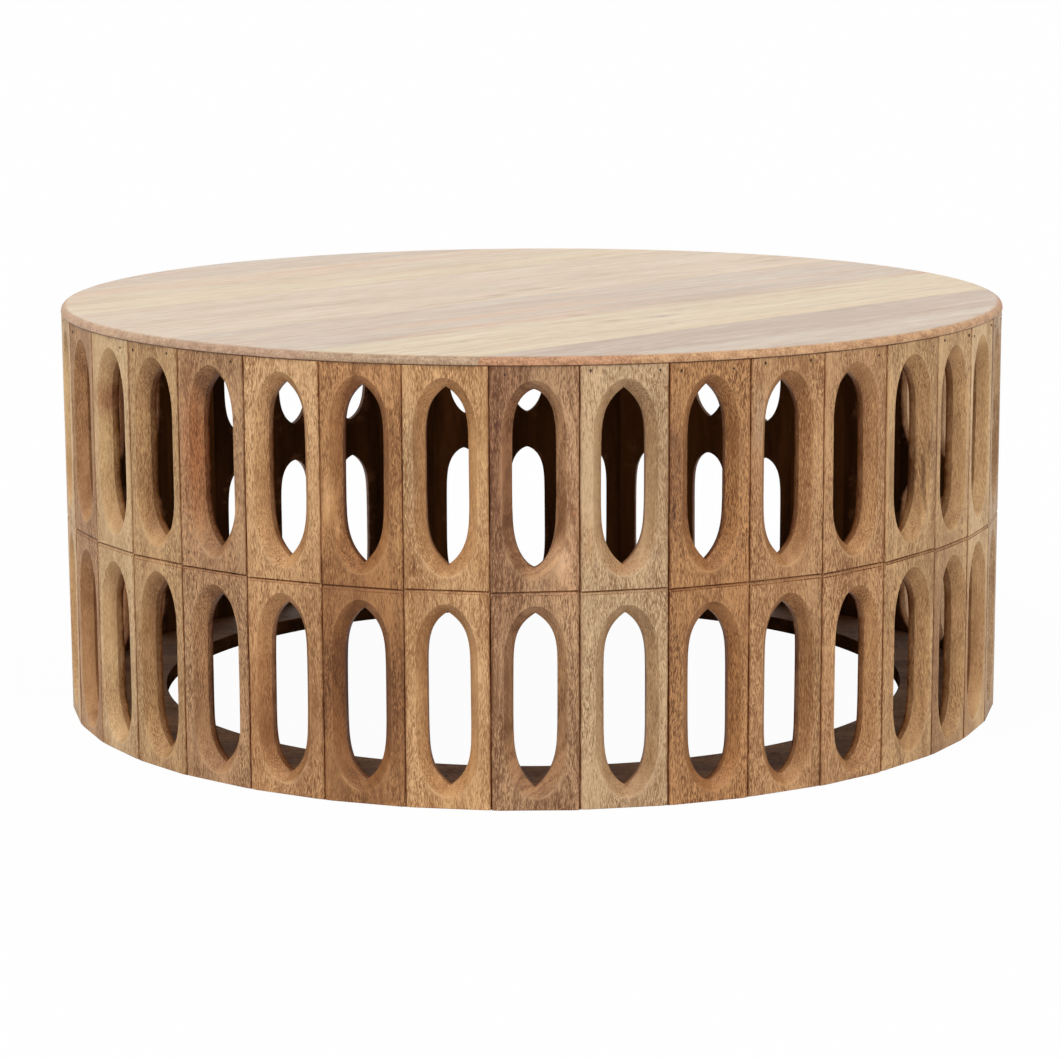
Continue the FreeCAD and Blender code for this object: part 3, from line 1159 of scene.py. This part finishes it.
def board_material(name, number, near, far):
    """A board's wood lies along the boards, so its place is turned to suit."""
    ground, mauve_share, peach_share, rim_pale, rim_deep = board_looks[number - 1]
    rng = random.Random(board_wood_seed + number)
    material, g = new_material(name)
    place = g.own_place()
    turn = {"Vector": place, "Angle": -board_turn}
    turned = g.add("ShaderNodeVectorRotate", turn, rotation_type="Z_AXIS")
    along, across, height = g.parts(turned.outputs[0])
    lying = g.joined(across, height, along)
    look = {
        "Cream": linear(*ground), "Mauve": linear(*mauve), "Peach": linear(*peach),
        "Mauve Share": mauve_share, "Peach Share": peach_share,
    }
    wood = wood_node(g, planed_wood, lying, wood_offset(rng), look)
    colour = wood.outputs["Color"]
    ripple = g.parts(g.noise(lying, (60, 14), 3.0, 0.6, colour=True))
    bent_along = g.plus(along, g.centred(ripple[0], 0.030))
    bent_across = g.plus(across, g.centred(ripple[1], 0.010))
    for mark in marks:
        if near - mark_margin_share < mark[1] < far + mark_margin_share:
            colour = mark_over(g, colour, bent_along, bent_across, mark, drum_radius)

    shade_and_stain = g.mark("shade_and_stain")
    speck = g.weigh(
        (g.noise(place, (700, 420), 2.0), 2.2), (g.noise(place, (90, 160), 3.0), 1.6),
    )
    end_grain = g.mix(g.spread(speck, -0.4, 0.4), linear(*rim_deep), linear(*rim_pale))
    colour = g.mix(g.spread(shade_and_stain, 0.0, 0.4), colour, end_grain)
    # Painted shadow: the dark line under the rim, and painted shade on the plug and underside
    # inside the drum
    colour = g.mix(g.spread(shade_and_stain, 0.5, 1.0), colour, linear(84, 50, 26))
    finish_material(g, colour, wood.outputs["Roughness"], wood.outputs["Height"], bump=0.00012)
    return material


def make_boards():
    joints = (-1.0,) + board_joints + (1.0,)
    for number, name in enumerate(board_names, 1):
        near, far = joints[number - 1], joints[number]
        piece = make_board(name + "_planed", near, far)
        piece.data.materials.append(board_material(name + "_wood", number, near, far))
        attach(piece, "root")
        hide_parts(name)


def make_ring():
    piece = make_foot_ring("foot_ring_turned")
    look = {
        "Pale": linear(158, 112, 70), "Deep": linear(112, 74, 42), "Tint": tints[1],
        "Tint Share": 0.5, "Rings": 0.1, "Ring Lean": 0.05, "Flecks": 0.5, "Contrast": 0.8,
    }
    # The ring's painted shade is a darker tone still
    wood = carved_material("foot_ring_wood", (3.1, 4.7, 1.3), look, lying=True, shade=0.75)
    piece.data.materials.append(wood)
    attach(piece, "root")
    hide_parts("foot_ring")


# Nails near the staves' upper ends. Some lie too deep to be seen.
nail_spacing = 0.054
nail_drop = 0.0055
nail_radius = 0.0008
nail_x_scatter = (-0.006, 0.004)
nail_z_scatter = (-0.003, 0.001)
nail_width_shares = (0.7, 1.1)
nail_height_shares = (1.0, 1.9)
nail_hidden_share = 0.4
nail_sides = 12

# Rows of a nail's head, from inside out: share of its radius, and how far out of the face
nail_rows = ((1.0, -0.0012), (1.0, 0.00005), (0.7, 0.0001))


def make_nails():
    """The sunk heads of the nails, two in each stave."""
    sheet = Sheet()
    rng = random.Random(nail_seed)
    turns = np.linspace(0, 2 * math.pi, nail_sides, endpoint=False)
    for name in stave_names:
        middle, half = stave_span(name)
        outer = drum_radius * math.cos(half)
        turned = Matrix.Rotation(middle, 3, "Z")
        for side in (1, -1):
            x = side * nail_spacing / 2 + rng.uniform(*nail_x_scatter)
            z = stave_length - nail_drop + rng.uniform(*nail_z_scatter)
            if rng.random() < nail_hidden_share:
                continue
            wide = nail_radius * rng.uniform(*nail_width_shares)
            tall = nail_radius * rng.uniform(*nail_height_shares)
            rows = []
            for size, out in nail_rows:
                ring = [
                    (x + size * wide * math.cos(t), -outer - out, z + size * tall * math.sin(t))
                    for t in turns
                ]
                rows.append(sheet.add([turned @ Vector(point) for point in ring]))
            sheet.skin(rows)
            sheet.faces.append(tuple(rows[-1]))
            sheet.faces.append(tuple(reversed(rows[0])))
    piece = sheet.build("stave_nails")
    material, g = new_material("nail_iron")
    grit = g.noise(g.own_place(), (900, 900), 3.0)
    colour = g.mix(grit, linear(70, 44, 28), linear(44, 28, 20))
    finish_material(g, colour, 0.7, grit, bump=0.0001)
    piece.data.materials.append(material)
    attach(piece, "root")


# Camera, from a pinhole fitted to the photo
picture_size = 1060
focal_pixels = 3259.7
camera_distance = 3.1805
camera_height = 0.7615
camera_pitch = math.radians(10.685)
camera_yaw = math.radians(-0.046)
camera_roll = math.radians(-0.257)
sensor_width = 36.0


def make_camera():
    data = bpy.data.cameras.new("camera")
    camera = bpy.data.objects.new("camera", data)
    bpy.context.scene.collection.objects.link(camera)
    forward = Vector((
        math.sin(camera_yaw) * math.cos(camera_pitch),
        math.cos(camera_yaw) * math.cos(camera_pitch),
        -math.sin(camera_pitch),
    ))
    right = Vector((math.cos(camera_yaw), -math.sin(camera_yaw), 0))
    up = right.cross(forward)
    rolled_right = math.cos(camera_roll) * right + math.sin(camera_roll) * up
    rolled_up = math.cos(camera_roll) * up - math.sin(camera_roll) * right
    turn = Matrix((rolled_right, rolled_up, -forward)).transposed()
    camera.matrix_world = Matrix.Translation((0, -camera_distance, camera_height)) @ turn.to_4x4()
    data.sensor_width = sensor_width
    data.lens = focal_pixels / picture_size * sensor_width
    data.dof.use_dof = False
    bpy.context.scene.camera = camera


# Floor and world: how far the floor reaches, its own paint, how much of it shows as plain
# white, and the light that the world gives
floor_reach = 60.0
floor_paint = (0.8, 0.8, 0.8, 1)
floor_white_share = 0.965
world_light = 0.46


def make_floor():
    """A pale floor that shows white to the camera and keeps the table's shadow."""
    sheet = Sheet()
    corners = ((-1, -1), (1, -1), (1, 1), (-1, 1))
    numbers = sheet.add([(x * floor_reach, y * floor_reach, 0) for x, y in corners])
    sheet.faces.append(tuple(numbers))
    floor = sheet.build("floor")
    material, g = new_material("floor_paint")
    seen = g.any_ray("Is Camera Ray", "Is Glossy Ray")
    white = g.times(seen, floor_white_share)
    paint = g.add("ShaderNodeBsdfDiffuse", {"Color": floor_paint})
    light = g.add("ShaderNodeEmission", {"Strength": 1.0})
    g.close(g.add("ShaderNodeMixShader", {0: white, 1: paint.outputs[0], 2: light.outputs[0]}))
    floor.data.materials.append(material)
    floor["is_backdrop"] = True


def make_world():
    """A white world that lights the table softly."""
    world = bpy.data.worlds.new("studio")
    world.use_nodes = True
    world.node_tree.nodes.clear()
    g = Graph(world.node_tree)
    seen = g.any_ray("Is Camera Ray", "Is Glossy Ray", "Is Transmission Ray")
    light = g.spread(seen, 0.0, 1.0, world_light, 1.0)
    sky = g.add("ShaderNodeBackground", {"Color": (1, 1, 1, 1), "Strength": light})
    g.close(sky, "ShaderNodeOutputWorld")
    bpy.context.scene.world = world


# Lamps: name, strength, softness in degrees, and the direction that they come from
lamps = (
    ("key", 1.7, 36.0, (-0.5, -0.8, 1.5)),
    ("fill", 0.8, 50.0, (1.1, -0.9, 0.7)),
)


def make_lamps():
    for name, strength, softness, source in lamps:
        data = bpy.data.lights.new(name, "SUN")
        data.energy = strength
        data.angle = math.radians(softness)
        lamp = bpy.data.objects.new(name, data)
        lamp.rotation_euler = Vector(source).to_track_quat("Z", "Y").to_euler()
        bpy.context.scene.collection.objects.link(lamp)


make_camera()
make_world()
make_lamps()
make_floor()
make_staves()
make_boards()
make_ring()
make_nails()
bpy.context.scene.view_settings.view_transform = "Standard"

boxes = {"cad": cad_box, "visual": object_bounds()}
{name: [list(corner) for corner in box] for name, box in boxes.items()}
